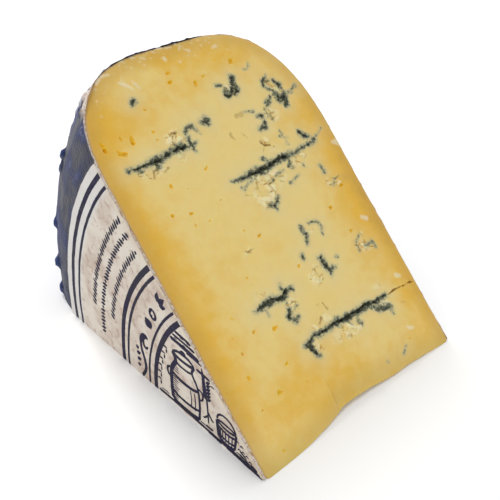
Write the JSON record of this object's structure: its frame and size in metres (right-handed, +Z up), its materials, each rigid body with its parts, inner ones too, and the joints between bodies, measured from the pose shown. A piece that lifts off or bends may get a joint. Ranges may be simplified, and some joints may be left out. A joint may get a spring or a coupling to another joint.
{
  "type": "cheese wedge",
  "caption": "Wedge of pressed blue-veined cheese from a domed wheel, lying on one cut face, with a dark rind coating and a printed paper label on one flat side.",
  "frame": {"origin": "centre of the bounding box at its bottom, on the plane the wedge rests on", "axes": "+Y from the tip towards the rim, +X along the wheel's axis from the label side to the other flat side, +Z up from the lower cut face; the upper cut face rises 45 degrees from the tip"},
  "size_m": [0.0882, 0.1294, 0.0915],
  "materials": {
    "cheese_paste": null,
    "rind_coating": "brushed-on dark blue cheese coating, uneven and slightly glossy",
    "paper_label": "uncoated cream paper printed in dark blue, mottled where the coating shows through"
  },
  "bodies": {
    "root": {"cheese_paste": "cheese_paste", "rind_coating": "rind_coating", "paper_label": "paper_label"}
  },
  "joints": []
}
